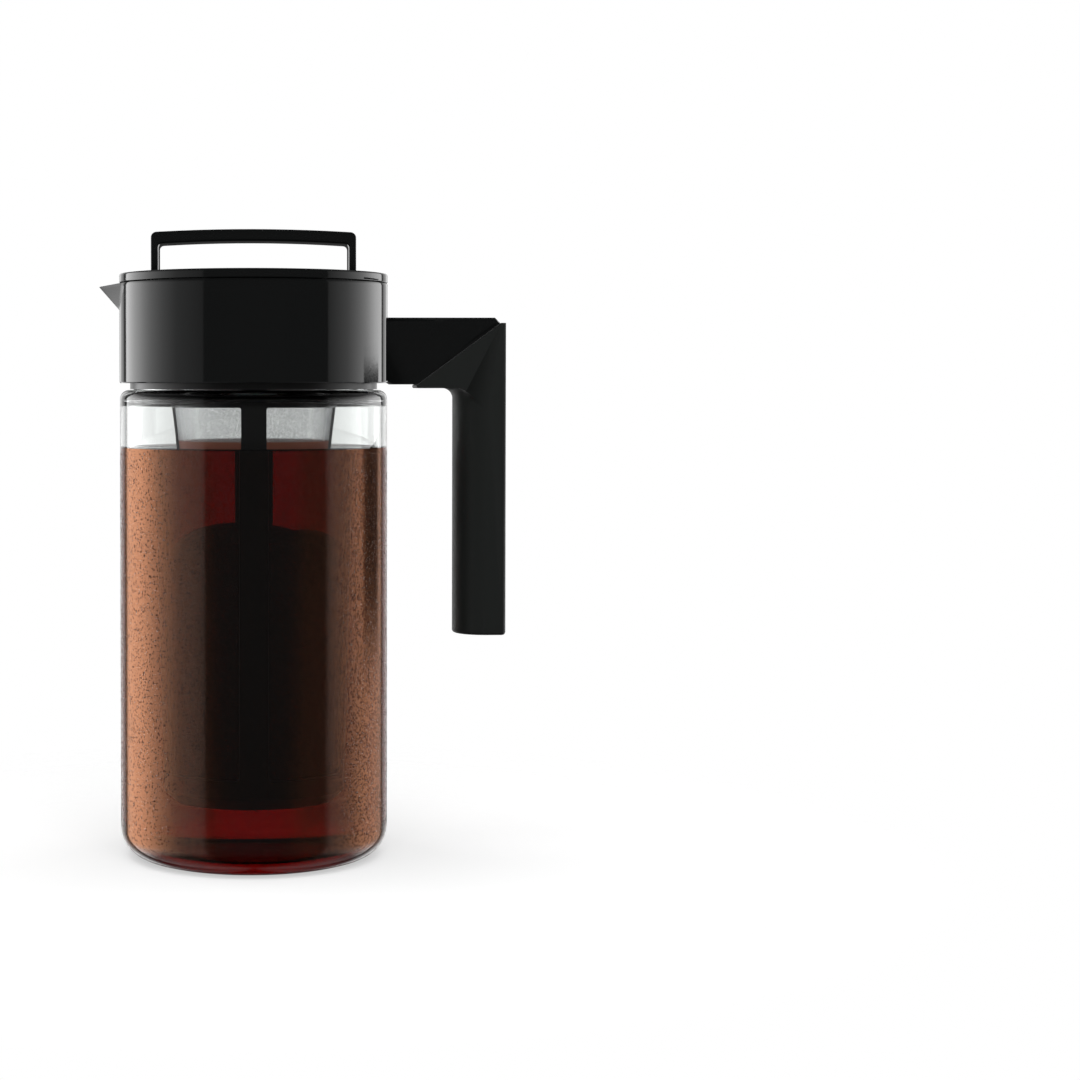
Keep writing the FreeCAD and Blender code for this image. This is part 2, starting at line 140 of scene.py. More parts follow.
# The screws that hold the handle.
screw_radius = 1.5
screw_head_radius = 2.8
screw_head_edge = 0.15
screw_head_height = 1.7
screw_length = 12.0
screw_point_length = 1.2
screw_point_radius = 0.35
screw_count = 2
screw_spread = 9.0
screw_start = 48.02
screw_lowest = 184.9
recess_length = 3.4
recess_width = 0.9
recess_depth = 1.1
recess_over = 1.0

floor_radius = 650.0


# ---- Colours, nodes and materials ----------------------------------------------------
def srgb(code):
    """Linear colour of a hex sRGB code."""
    channels = []
    for start in (0, 2, 4):
        value = int(code[start:start + 2], 16) / 255
        if value <= 0.04045:
            channels.append(value / 12.92)
        else:
            channels.append(((value + 0.055) / 1.055) ** 2.4)
    return (*channels, 1.0)


WHITE = srgb("ffffff")


def fill(node, sockets):
    """Sets or links a node's sockets, given by name or in order.

    A node as a value is linked from its first output in use.
    """
    places = sockets.items() if isinstance(sockets, dict) else enumerate(sockets)
    for place, value in places:
        if isinstance(value, bpy.types.Node):
            value = next(output for output in value.outputs if output.enabled)
        if isinstance(value, bpy.types.NodeSocket):
            node.id_data.links.new(value, node.inputs[place])
        else:
            node.inputs[place].default_value = value


def add(tree, kind, sockets=(), stops=(), **settings):
    """Adds a node with its settings, its sockets' values and links, and a ramp's stops."""
    made = tree.nodes.new(kind)
    for name, value in settings.items():
        setattr(made, name, value)
    if stops:
        points = made.color_ramp.elements
        for position, value in stops[1:-1]:
            points.new(position)
        for point, (position, value) in zip(points, stops):
            point.color = (value, value, value, 1.0)
    fill(made, sockets)
    return made


def new_material(name):
    """Material with one Principled shader; returns it with its tree and shader."""
    material = bpy.data.materials.new(name)
    material.use_nodes = True
    tree = material.node_tree
    return material, tree, tree.nodes["Principled BSDF"]


def in_millimetres(tree):
    """The piece's own coordinates in millimetres: a texture's scale counts to the millimetre."""
    place = add(tree, "ShaderNodeTexCoord").outputs["Object"]
    return add(tree, "ShaderNodeMapping", {"Vector": place, "Scale": (1 / MM,) * 3})


def moulded_plastic(name, colour, rough_low, rough_high, grain, depth):
    """Moulded polypropylene: the mould gives it a fine grain and a slightly uneven gloss.

    grain counts its grains to the millimetre, and depth is their depth in millimetres.
    """
    material, tree, shader = new_material(name)
    place = in_millimetres(tree)
    wide = add(tree, "ShaderNodeTexNoise", {"Vector": place, "Scale": 0.05, "Detail": 3.0})
    fine = add(tree, "ShaderNodeTexNoise", {"Vector": place, "Scale": grain, "Detail": 2.0})
    fill(shader, {
        "Base Color": srgb(colour),
        "IOR": 1.49,
        "Roughness": add(tree, "ShaderNodeMapRange", [wide, 0.0, 1.0, rough_low, rough_high]),
        "Normal": add(tree, "ShaderNodeBump", {"Height": fine, "Distance": depth * MM}),
    })
    return material


def clear_plastic():
    """Clear copolyester: its polished mould leaves it bright, with a faint waviness."""
    material, tree, shader = new_material("clear_copolyester")
    place = in_millimetres(tree)
    waves = add(tree, "ShaderNodeTexNoise", {"Vector": place, "Scale": 0.06, "Detail": 1.0})
    fill(shader, {
        "Base Color": srgb("f0f2f1"),
        "Roughness": 0.0,
        "IOR": 1.55,
        "Transmission Weight": 1.0,
        "Normal": add(tree, "ShaderNodeBump", {"Height": waves, "Distance": 0.06 * MM}),
    })
    return material


def coffee_liquid():
    """Cold brew coffee: clear, and red in depth because it takes up green and blue first."""
    material, tree, shader = new_material("cold_brew_coffee")
    fill(shader, {
        "Base Color": WHITE, "Roughness": 0.0, "IOR": 1.34, "Transmission Weight": 1.0,
    })
    depth = add(tree, "ShaderNodeVolumeAbsorption", {"Color": srgb("de5e52"), "Density": 81.0})
    fill(tree.nodes["Material Output"], {"Volume": depth})
    return material


def condensation_film():
    """Breath of fine water drops on plastic: a speckled layer that mirrors light softly.

    The real drops are about 0.3 mm apart, too fine to show, and are drawn at about 1 mm.
    """
    material, tree, shader = new_material("condensation_film")
    place = in_millimetres(tree)
    split = add(tree, "ShaderNodeSeparateXYZ", {"Vector": place})
    across, height = split.outputs["X"], split.outputs["Z"]

    # Denser where the wall turns away from the eye, and thin again at the very edge.
    level = add(tree, "ShaderNodeVectorMath", [place, (1.0, 1.0, 0.0)], operation="MULTIPLY")
    outward = add(tree, "ShaderNodeVectorMath", [level], operation="NORMALIZE")
    slant = add(tree, "ShaderNodeLayerWeight", {"Blend": 0.5, "Normal": outward})
    haze = add(tree, "ShaderNodeValToRGB", {"Fac": slant.outputs["Facing"]}, stops=[
        (0.0, 0.02), (0.04, 0.06), (0.09, 0.36), (0.165, 0.45), (0.25, 0.68),
        (0.4, 0.95), (0.7, 0.98), (0.76, 0.3), (1.0, 0.15),
    ])
    uneven = add(tree, "ShaderNodeTexNoise", {"Vector": place, "Scale": 0.09, "Detail": 4.0})
    patches = add(tree, "ShaderNodeMapRange", [uneven, 0.3, 0.7, 0.88, 1.0])
    cover = add(tree, "ShaderNodeMath", [patches, haze], operation="MULTIPLY")

    # Thinner when looked at from above, and none round the base.
    upright = add(tree, "ShaderNodeCombineXYZ", {"Z": 1.0})
    above = add(tree, "ShaderNodeLayerWeight", {"Blend": 0.5, "Normal": upright})
    raised = add(tree, "ShaderNodeMapRange", [above.outputs["Facing"], 0.35, 0.7, 0.25, 1.0])
    cover = add(tree, "ShaderNodeMath", [cover, raised], operation="MULTIPLY")
    ends = add(tree, "ShaderNodeMapRange", [height, 4.0, 9.0, 0.0, 1.0])

    # Two sizes of dots, the finer one only on the handle's side, and a painted shade of the
    # handle that darkens the film towards its side.
    cells = add(tree, "ShaderNodeTexVoronoi", {"Vector": place, "Scale": 0.8})
    dots = add(tree, "ShaderNodeMapRange", [cells, 0.24, 0.32, 0.0, 1.0])
    cells = add(tree, "ShaderNodeTexVoronoi", {"Vector": place, "Scale": 1.1})
    gaps = add(tree, "ShaderNodeMapRange", [cells, 0.36, 0.48, 1.0, 0.0])
    side = add(tree, "ShaderNodeMapRange", [across, 18.0, 42.0, 0.0, 1.0])
    side_gaps = add(tree, "ShaderNodeMath", [side, gaps], operation="MULTIPLY")
    grain = add(tree, "ShaderNodeMath", [1.0, side_gaps], operation="SUBTRACT")
    # Painted shade: the film's colour darkens towards the handle, which keeps light off that
    # side.
    painted_handle_shade = add(tree, "ShaderNodeMapRange", [across, 10.0, 45.0, 1.0, 0.5])
    speckle = add(tree, "ShaderNodeMath", [dots, grain], operation="MULTIPLY")
    speckle = add(tree, "ShaderNodeMath", [speckle, painted_handle_shade], operation="MULTIPLY")
    fill(shader, {
        "Base Color": add(tree, "ShaderNodeMix", {
            "Factor": speckle, "A": srgb("3c2016"), "B": srgb("8c5f45"),
        }, data_type="RGBA"),
        "Roughness": 0.16,
        "Metallic": 0.85,
        "Specular Tint": srgb("d6c8c0"),
        "Alpha": add(tree, "ShaderNodeMath", [cover, ends], operation="MULTIPLY"),
    })
    return material


def water_drops():
    """Water: clear, and almost smooth on the larger drops."""
    material, tree, shader = new_material("condensation_water")
    fill(shader, {
        "Base Color": WHITE, "Roughness": 0.02, "IOR": 1.33, "Transmission Weight": 1.0,
    })
    return material


def coffee_grounds():
    """Wet ground coffee, cut to about 1 mm: nearly black grains with damp glints."""
    material, tree, shader = new_material("wet_coffee_grounds")
    place = in_millimetres(tree)
    grains = add(tree, "ShaderNodeTexNoise", {"Vector": place, "Scale": 0.9, "Detail": 6.0})
    fill(shader, {
        "Base Color": add(tree, "ShaderNodeMix", {
            "Factor": grains, "A": srgb("0b0705"), "B": srgb("2a1a12"),
        }, data_type="RGBA"),
        "Roughness": add(tree, "ShaderNodeMapRange", [grains, 0.0, 1.0, 0.35, 0.8]),
        "Normal": add(tree, "ShaderNodeBump", {"Height": grains, "Distance": 0.8 * MM}),
    })
    return material


def woven_mesh():
    """Stainless steel wire, woven: a grey veil that shows what is behind it.

    The real wires are about 0.25 mm apart, too fine to show, and are drawn at 0.42 mm.
    """
    wire_spacing = 0.42
    weave_radius = 29.0
    material, tree, shader = new_material("stainless_mesh")
    place = in_millimetres(tree)
    split = add(tree, "ShaderNodeSeparateXYZ", {"Vector": place})
    height = split.outputs["Z"]
    sides = [split.outputs["Y"], split.outputs["X"]]
    turn = add(tree, "ShaderNodeMath", sides, operation="ARCTAN2")
    around = add(tree, "ShaderNodeMath", [turn, weave_radius], operation="MULTIPLY")
    threads = []
    for length in (around, height):
        half_turns = [length, math.pi / wire_spacing]
        phase = add(tree, "ShaderNodeMath", half_turns, operation="MULTIPLY")
        wave = add(tree, "ShaderNodeMath", [phase], operation="SINE")
        threads.append(add(tree, "ShaderNodeMath", [wave], operation="ABSOLUTE"))
    wires = add(tree, "ShaderNodeMath", threads, operation="MAXIMUM")

    # Seen straight on, the gaps are open; seen at a slant, the wires close them.
    uneven = add(tree, "ShaderNodeTexNoise", {"Vector": place, "Scale": 1.4, "Detail": 2.0})
    glints = add(tree, "ShaderNodeMapRange", [uneven, 0.4, 0.58, 0.3, 1.0])
    gaps = add(tree, "ShaderNodeMapRange", [wires, 0.75, 1.0, 0.0, 0.42])
    straight = add(tree, "ShaderNodeMath", [gaps, glints], operation="MULTIPLY")
    slant = add(tree, "ShaderNodeLayerWeight", {"Blend": 0.5})
    grazing = add(tree, "ShaderNodeMapRange", [slant.outputs["Facing"], 0.35, 0.9, 0.0, 0.7])
    closed = add(tree, "ShaderNodeMath", [straight, grazing], operation="MAXIMUM")

    # Coffee stains the wires below its level, and fills the gaps just above it.
    above = add(tree, "ShaderNodeMapRange", [height, liquid_z - 0.5, liquid_z, 0.0, 0.75])
    below = add(tree, "ShaderNodeMapRange", [height, liquid_z + 2.6, liquid_z + 3.4, 1.0, 0.0])
    wet = add(tree, "ShaderNodeMath", [above, below], operation="MULTIPLY")
    fill(shader, {
        "Base Color": add(tree, "ShaderNodeMix", {
            "Factor": below, "A": srgb("eceef0"), "B": srgb("b0705a"),
        }, data_type="RGBA"),
        "Metallic": 0.55,
        "Roughness": 0.5,
        "Normal": add(tree, "ShaderNodeBump", {"Height": wires, "Distance": 0.12 * MM}),
        "Alpha": add(tree, "ShaderNodeMath", [closed, wet], operation="MAXIMUM"),
    })
    return material


def silicone():
    """Moulded silicone rubber: grey, a little translucent and slightly dusty."""
    material, tree, shader = new_material("silicone_seal")
    place = in_millimetres(tree)
    dust = add(tree, "ShaderNodeTexNoise", {"Vector": place, "Scale": 0.8, "Detail": 3.0})
    fill(shader, {
        "Base Color": srgb("8f9292"),
        "Subsurface Weight": 0.2,
        "Subsurface Scale": 2 * MM,
        "Roughness": add(tree, "ShaderNodeMapRange", [dust, 0.0, 1.0, 0.45, 0.65]),
    })
    return material


def screw_steel():
    """Stainless steel, finely turned: its gloss is a little uneven."""
    material, tree, shader = new_material("stainless_screw")
    place = in_millimetres(tree)
    marks = add(tree, "ShaderNodeTexNoise", {"Vector": place, "Scale": 3.0, "Detail": 3.0})
    fill(shader, {
        "Base Color": srgb("bfc1c2"),
        "Metallic": 1.0,
        "Roughness": add(tree, "ShaderNodeMapRange", [marks, 0.0, 1.0, 0.22, 0.4]),
    })
    return material


# ---- Meshes --------------------------------------------------------------------------
def rounded(corners, steps=8):
    """Outline through (x, z) or (x, z, radius) corners, with each radius drawn as an arc."""
    points = []
    count = len(corners)
    for index, corner in enumerate(corners):
        here = Vector(corner[:2])
        if len(corner) == 2:
            points.append(here)
            continue
        before = (Vector(corners[index - 1][:2]) - here).normalized()
        after = (Vector(corners[(index + 1) % count][:2]) - here).normalized()
        half = before.angle(after) / 2
        centre = here + (before + after).normalized() * (corner[2] / math.sin(half))
        start = here + before * (corner[2] / math.tan(half)) - centre
        end = here + after * (corner[2] / math.tan(half)) - centre
        turn = start.angle_signed(end)
        for step in range(steps + 1):
            angle = -turn * step / steps
            spun = Vector((
                start.x * math.cos(angle) - start.y * math.sin(angle),
                start.x * math.sin(angle) + start.y * math.cos(angle),
            ))
            points.append(centre + spun)
    return points


def placed(name, mesh, material):
    """Object at the origin that shows a mesh in a material."""
    mesh.materials.append(material)
    made = bpy.data.objects.new(name, mesh)
    bpy.context.scene.collection.objects.link(made)
    return made


def new_object(name, vertices, faces, material):
    """Object from points in millimetres, with outward normals."""
    mesh = bpy.data.meshes.new(name)
    mesh.from_pydata([Vector(v) * MM for v in vertices], [], faces)
    work = bmesh.new()
    work.from_mesh(mesh)
    bmesh.ops.remove_doubles(work, verts=work.verts, dist=WELD)
    bmesh.ops.recalc_face_normals(work, faces=work.faces)
    work.to_mesh(mesh)
    work.free()
    return placed(name, mesh, material)


def shade(piece, degrees):
    """Smooth shading that keeps edges sharper than the angle."""
    piece.data.shade_smooth()
    piece.data.set_sharp_from_angle(angle=math.radians(degrees))


def apply_modifiers(piece):
    """Bakes the modifiers into the mesh."""
    graph = bpy.context.evaluated_depsgraph_get()
    baked = bpy.data.meshes.new_from_object(piece.evaluated_get(graph))
    piece.modifiers.clear()
    piece.data = baked


def bevelled(piece, width, degrees=30):
    """Rounds the edges sharper than the angle."""
    modifier = piece.modifiers.new("edges", "BEVEL")
    modifier.width = width * MM
    modifier.segments = 3
    modifier.limit_method = "ANGLE"
    modifier.angle_limit = math.radians(degrees)
    modifier.harden_normals = False
    apply_modifiers(piece)


def ring_faces(columns, rows, closed=True):
    """Faces between columns of points in a ring; a closed column joins its two ends."""
    faces = []
    for turn in range(columns):
        here = turn * rows
        after = (turn + 1) % columns * rows
        for row in range(rows if closed else rows - 1):
            beyond = (row + 1) % rows
            faces.append((here + row, after + row, after + beyond, here + beyond))
    return faces


def turned(name, profile, material, segments=256, closed=True):
    """A profile of (radius, z) points turned round the axis."""
    vertices = []
    for turn in range(segments):
        angle = FULL_TURN * turn / segments
        for radius, z in profile:
            vertices.append((radius * math.cos(angle), radius * math.sin(angle), z))
    return new_object(name, vertices, ring_faces(segments, len(profile), closed), material)


def revolved(name, profile, material, segments=256):
    """Closed solid of revolution, with its poles made single points."""
    made = turned(name, profile, material, segments)
    work = bmesh.new()
    work.from_mesh(made.data)
    bmesh.ops.dissolve_degenerate(work, edges=work.edges, dist=WELD)
    bmesh.ops.recalc_face_normals(work, faces=work.faces)
    work.to_mesh(made.data)
    work.free()
    return made


def prism(name, outline, width, material):
    """Outline in the XZ plane made into a solid across Y."""
    count = len(outline)
    vertices = [(x, -width / 2, z) for x, z in outline]
    vertices += [(x, width / 2, z) for x, z in outline]
    faces = [tuple(range(count)), tuple(range(2 * count - 1, count - 1, -1))]
    for index in range(count):
        beyond = (index + 1) % count
        faces.append((index, beyond, count + beyond, count + index))
    return new_object(name, vertices, faces, material)


def joined(name, pieces, material):
    """One object from several."""
    work = bmesh.new()
    for piece in pieces:
        work.from_mesh(piece.data)
        bpy.data.objects.remove(piece)
    mesh = bpy.data.meshes.new(name)
    work.to_mesh(mesh)
    work.free()
    return placed(name, mesh, material)


def smooth_copy(node, name, material, degrees):
    """Welded and smoothly shaded copy of a solid's mesh."""
    work = bmesh.new()
    work.from_mesh(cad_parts[node].data)
    bmesh.ops.remove_doubles(work, verts=work.verts, dist=SOLID_WELD)
    bmesh.ops.recalc_face_normals(work, faces=work.faces)
    mesh = bpy.data.meshes.new(name)
    work.to_mesh(mesh)
    work.free()
    made = placed(name, mesh, material)
    shade(made, degrees)
    return made


def node_tree(name, inputs):
    """Empty geometry node tree with named inputs; returns it with its two end nodes."""
    tree = bpy.data.node_groups.new(name, "GeometryNodeTree")
    tree.interface.new_socket("Geometry", in_out="INPUT", socket_type="NodeSocketGeometry")
    for label, kind in inputs:
        tree.interface.new_socket(label, in_out="INPUT", socket_type="NodeSocket" + kind)
    tree.interface.new_socket("Geometry", in_out="OUTPUT", socket_type="NodeSocketGeometry")
    return tree, add(tree, "NodeGroupInput").outputs, add(tree, "NodeGroupOutput")


def run_tree(piece, tree, values):
    """Runs a geometry node tree on a piece with its named inputs set."""
    modifier = piece.modifiers.new("nodes", "NODES")
    modifier.node_group = tree
    for item in tree.interface.items_tree:
        if item.item_type == "SOCKET" and item.in_out == "INPUT" and item.name in values:
            modifier[item.identifier] = values[item.name]
    apply_modifiers(piece)


# ---- Jug, coffee and condensation film -----------------------------------------------
def jug_outline():
    inner_shoulder = shoulder_z - shoulder_wall
    return rounded([
        (0.0, dish_rise),
        (dish_radius, dish_rise, dish_round),
        (foot_radius, 0.0, foot_round),
        (jug_radius, 0.0, base_round),
        (jug_radius, shoulder_z, shoulder_round),
        (neck_radius, shoulder_z, neck_fillet),
        (neck_radius, bead_z - bead_half, bead_round),
        (neck_radius + bead_height, bead_z, bead_round),
        (neck_radius, bead_z + bead_half, bead_round),
        (neck_radius, neck_top, neck_edge),
        (neck_bore, neck_top, neck_edge),
        (neck_bore, inner_shoulder, neck_inner_fillet),
        (jug_inside, inner_shoulder, shoulder_round),
        (jug_inside, jug_floor, base_round - base_wall),
        (0.0, jug_floor),
    ])


def coffee_outline():
    floor = jug_floor - liquid_overlap
    return rounded([
        (0.0, floor),
        (jug_inside + liquid_overlap, floor, base_round - base_wall),
        *((jug_inside - inset, liquid_z + rise) for inset, rise in meniscus),
        (0.0, liquid_z),
    ])


def mist_outline():
    """Up round the base corner and the wall to just over the liquid's level."""
    radius = jug_radius + mist_gap
    rows = []
    for k in range(mist_rows):
        turn = math.radians(mist_lowest_turn * (1 - k / mist_rows))
        inset = base_round * (1 - math.cos(turn))
        rows.append((radius - inset, base_round * (1 - math.sin(turn))))
    rise = liquid_z - base_round + mist_over
    return rows + [(radius, base_round + rise * k / mist_rows) for k in range(mist_rows + 1)]


def build_jug(plastic, coffee, film):
    shell = revolved("jug_shell", jug_outline(), plastic)
    shade(shell, 40)
    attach(shell, "jug")
    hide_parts("jug_base", "jug_side", "jug_neck")
    shell.visible_shadow = False      # the clear wall would darken what stands in it
    liquid = revolved("cold_brew", coffee_outline(), coffee)
    shade(liquid, 50)
    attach(liquid, "jug")
    mist = turned("condensation_mist", mist_outline(), film, closed=False)
    mist.data.shade_smooth()
    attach(mist, "jug")


# ---- Collar with its spout -----------------------------------------------------------
def collar_wall(share, radius, reach, half_width):
    """Angle and radius of the collar's round wall.

    Shares from -1 to 1 lie on the spout's V, which runs from the wall out to a tip.
    """
    edge = math.asin(max(half_width, spout_narrowest) / radius)
    if abs(share) > 1:
        return math.copysign(edge + (math.pi - edge) * (abs(share) - 1), share), radius
    base = Vector((radius * math.cos(edge), radius * math.sin(edge)))
    tip = Vector((radius + reach, 0.0))
    soft = math.hypot(share, spout_softness) - spout_softness
    point = tip.lerp(base, soft / (math.hypot(1.0, spout_softness) - spout_softness))
    return math.copysign(math.atan2(point.y, point.x), share), point.length


def collar_column(share):
    """One section of the collar, as (angle, radius, z) points from outside to inside."""
    def outer(rise):
        return collar_wall(share, collar_radius, spout_reach * rise, spout_half_width * rise)

    def inner(rise):
        reach = collar_radius - collar_bore + spout_reach - spout_wall
        half_width = spout_half_width - spout_wall
        return collar_wall(share, collar_bore, reach * rise, half_width * rise)

    drop = spout_drop * max(0.0, 1 - abs(share))
    outer_rows = 10
    inner_rows = 8
    column = [(outer(0.0)[0], collar_radius - collar_edge, collar_bottom)]
    step = (collar_top - collar_lip[-1][0] - spout_low) / outer_rows
    heights = [collar_bottom + collar_edge, *collar_rings]
    heights += [spout_low + step * k for k in range(outer_rows + 1)]
    for z in heights:
        rise = max(0.0, (z - spout_low) / (collar_top - spout_low))
        column.append((*outer(rise), z - rise * drop))
    angle, radius = outer(1.0)
    for inset, fall in collar_lip:
        column.append((angle, radius - inset, collar_top - fall - drop))
    low = spout_low + spout_wall
    for k in range(inner_rows + 1):
        rise = 1 - k / inner_rows
        column.append((*inner(rise), low + (collar_top - low - drop) * rise))
    for z in (*reversed(collar_rings), collar_bottom):
        column.append((*inner(0.0), z))
    return column


def build_collar(plastic):
    half_spout = 12
    round_wall = 232
    shares = [k / half_spout for k in range(-half_spout, half_spout + 1)]
    for k in range(1, round_wall):
        share = 1 + 2 * k / round_wall
        shares.append(share if share <= 2 else share - 4)
    columns = [collar_column(share) for share in shares]
    vertices = []
    for column in columns:
        for angle, radius, z in column:
            vertices.append((-radius * math.cos(angle), -radius * math.sin(angle), z))
    faces = ring_faces(len(columns), len(columns[0]))
    made = new_object("collar_and_spout", vertices, faces, plastic)
    shade(made, 30)
    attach(made, "jug")
    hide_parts("collar")


# ---- Lid -----------------------------------------------------------------------------
def build_lid(plastic):
    rim = collar_radius - lid_rim_width
    parts = [revolved("disc", rounded([
        (0.0, lid_bottom),
        (collar_radius, lid_bottom, lid_low_round),
        (collar_radius, lid_top, lid_high_round),
        (rim, lid_top, lid_rim_round),
        (rim - lid_rim_slope, lid_field, lid_rim_round),
        (0.0, lid_field),
    ], steps=5), plastic)]
    for side in (-1, 1):
        middle = side * (strap_half - strap_leg / 2)
        half = strap_leg / 2 + boss_margin
        boss = prism("boss", [
            (middle - half, lid_field - boss_sink),
            (middle + half, lid_field - boss_sink),
            (middle + half, lid_field + boss_height),
            (middle - half, lid_field + boss_height),
        ], strap_width + 2 * boss_margin, plastic)
        bevelled(boss, boss_edge)
        parts.append(boss)
    lid = joined("lid_top_shell", parts, plastic)
    shade(lid, 35)
    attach(lid, "lid")
    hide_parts("lid_cap")
    inner = strap_half - strap_leg
    peak = strap_shoulder + 2 * strap_crown
    crown = (strap_half - strap_corner - strap_straight) * strap_half / (2 * strap_crown)
    strap = prism("lid_strap_handle", rounded([
        (-strap_half, strap_foot),
        (-strap_half, strap_shoulder, strap_corner),
        (0.0, peak, crown),
        (strap_half, strap_shoulder, strap_corner),
        (strap_half, strap_foot),
        (inner, strap_foot),
        (inner, strap_shoulder - strap_bar, strap_inside_corner),
        (0.0, peak - strap_bar, crown * (inner - strap_corner) / strap_half),
        (-inner, strap_shoulder - strap_bar, strap_inside_corner),
        (-inner, strap_foot),
    ], steps=10), strap_width, plastic)
    bevelled(strap, strap_edge, 40)
    shade(strap, 35)
    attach(strap, "lid")
    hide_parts("lid_handle")


# ---- Handle and its screws -----------------------------------------------------------
def build_handle(plastic, grip):
    """Arm and grip. The studio's black card takes their place in other pieces' gloss."""
    arm = smooth_copy("handle_frame", "handle_arm", plastic, 25)
    arm.visible_glossy = False
    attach(arm, "jug")
    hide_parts("handle_frame")
    sleeve = smooth_copy("grip_sleeve", "handle_grip", grip, 25)
    sleeve.visible_glossy = False
    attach(sleeve, "jug")
    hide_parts("grip_sleeve")


def screw_row_tree(steel):
    """The same screw repeated down a line."""
    tree, given, end = node_tree("screw_row", [
        ("Count", "Int"), ("Lowest", "Vector"), ("Spacing", "Vector"),
    ])
    line = add(tree, "GeometryNodeMeshLine", {
        "Count": given["Count"], "Start Location": given["Lowest"], "Offset": given["Spacing"],
    })
    row = add(tree, "GeometryNodeInstanceOnPoints", {
        "Points": line, "Instance": given["Geometry"],
    })
    solid = add(tree, "GeometryNodeRealizeInstances", {"Geometry": row})
    painted = add(tree, "GeometryNodeSetMaterial", {"Geometry": solid, "Material": steel})
    fill(end, {"Geometry": painted})
    return tree


def build_screws(steel):
    """Two countersunk screws with a cross recess, driven outwards from inside the collar."""
    screw = revolved("collar_screws", [
        (0.0, 0.0),
        (screw_head_radius, 0.0),
        (screw_head_radius, screw_head_edge),
        (screw_radius, screw_head_height),
        (screw_radius, screw_length - screw_point_length),
        (screw_point_radius, screw_length),
        (0.0, screw_length),
    ], steel, segments=48)
    for length, width in ((recess_length, recess_width), (recess_width, recess_length)):
        cutter = prism("recess", [
            (-length / 2, -recess_over),
            (length / 2, -recess_over),
            (length / 2, recess_depth),
            (-length / 2, recess_depth),
        ], width, steel)
        cut = screw.modifiers.new("recess", "BOOLEAN")
        cut.operation = "DIFFERENCE"
        cut.object = cutter
        apply_modifiers(screw)
        bpy.data.objects.remove(cutter)
    for vertex in screw.data.vertices:
        x, y, z = vertex.co
        vertex.co = (z, y, -x)
    run_tree(screw, screw_row_tree(steel), {
        "Count": screw_count,
        "Lowest": (screw_start * MM, 0.0, screw_lowest * MM),
        "Spacing": (0.0, 0.0, screw_spread * MM),
    })
    shade(screw, 30)
    screw.visible_glossy = False
    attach(screw, "jug")
    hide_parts("handle_screws")


# ---- Coffee grounds ------------------------------------------------------------------
def cage_inside(z):
    """Inner radius of the infuser's cage at a height."""
    return cage_radius + cage_flare * max(0.0, z - cage_flare_low) / cage_flare_length


def heap_height(r, z, angle):
    """Height of a point of the heap: its top is wavy, swells at one side and falls at its rim."""
    top = max(0.0, (z - heap_low) / (grounds_z - heap_low))
    share = r / heap_radius
    waves = sum(size * math.sin(count * angle + start) for size, count, start in heap_waves)
    swell = heap_swell * (1 - share ** 2) * math.cos(angle - heap_swell_turn)
    return z + top * (waves * share + swell - heap_droop * share ** 5)


def build_grounds(material):
    """Uneven heap of wet grounds in the infuser."""
    rings = 26
    layers = 30
    segments = 96
    rows = []
    for k in range(layers + 1):
        z = grounds_low + (grounds_z - grounds_low) * k / layers
        rows.append((cage_inside(z) - grounds_gap, z))
    for k in range(1, rings):
        rows.append(((cage_inside(grounds_z) - grounds_gap) * (1 - k / rings), grounds_z))
    vertices = [(0.0, 0.0, grounds_low)]
    for r, z in rows:
        for turn in range(segments):
            angle = FULL_TURN * turn / segments
            vertices.append((r * math.cos(angle), r * math.sin(angle), heap_height(r, z, angle)))
    vertices.append((0.0, 0.0, grounds_z + heap_peak))
    faces = []
    last = 1 + (len(rows) - 1) * segments
    for turn in range(segments):
        beyond = (turn + 1) % segments
        for k in range(len(rows) - 1):
            here = 1 + k * segments
            after = here + segments
            faces.append((here + turn, here + beyond, after + beyond, after + turn))
        faces.append((0, 1 + beyond, 1 + turn))
        faces.append((last + turn, last + beyond, len(vertices) - 1))
    heap = new_object("coffee_grounds", vertices, faces, material)
    heap.data.shade_smooth()
    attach(heap, "infuser")


# ---- Larger drops of condensation ----------------------------------------------------
def bead_tree(water):
    """Small flattened beads, mostly near the smallest size, scattered on faces."""
    tree, given, end = node_tree("condensation_beads", [
        ("Density", "Float"), ("Smallest", "Float"), ("Largest", "Float"), ("Seed", "Int"),
    ])
    scatter = add(tree, "GeometryNodeDistributePointsOnFaces", {
        "Mesh": given["Geometry"], "Density": given["Density"], "Seed": given["Seed"],
    }, distribute_method="RANDOM")
    sphere = add(tree, "GeometryNodeMeshIcoSphere", {"Radius": 1.0, "Subdivisions": 1})
    bead = add(tree, "GeometryNodeTransform", {"Geometry": sphere, "Scale": (1.0, 1.0, 0.55)})
    chance = add(tree, "FunctionNodeRandomValue", {"Min": 0.0, "Max": 1.0}, data_type="FLOAT")
    share = add(tree, "ShaderNodeMath", [chance, 3.0], operation="POWER")
    size = add(tree, "ShaderNodeMapRange", {
        "Value": share, "To Min": given["Smallest"], "To Max": given["Largest"],
    })
    beads = add(tree, "GeometryNodeInstanceOnPoints", {
        "Points": scatter,
        "Instance": bead,
        "Rotation": scatter.outputs["Rotation"],
        "Scale": size,
    })
    solid = add(tree, "GeometryNodeRealizeInstances", {"Geometry": beads})
    smooth = add(tree, "GeometryNodeSetShadeSmooth", {"Geometry": solid})
    painted = add(tree, "GeometryNodeSetMaterial", {"Geometry": smooth, "Material": water})
    fill(end, {"Geometry": painted})
    return tree


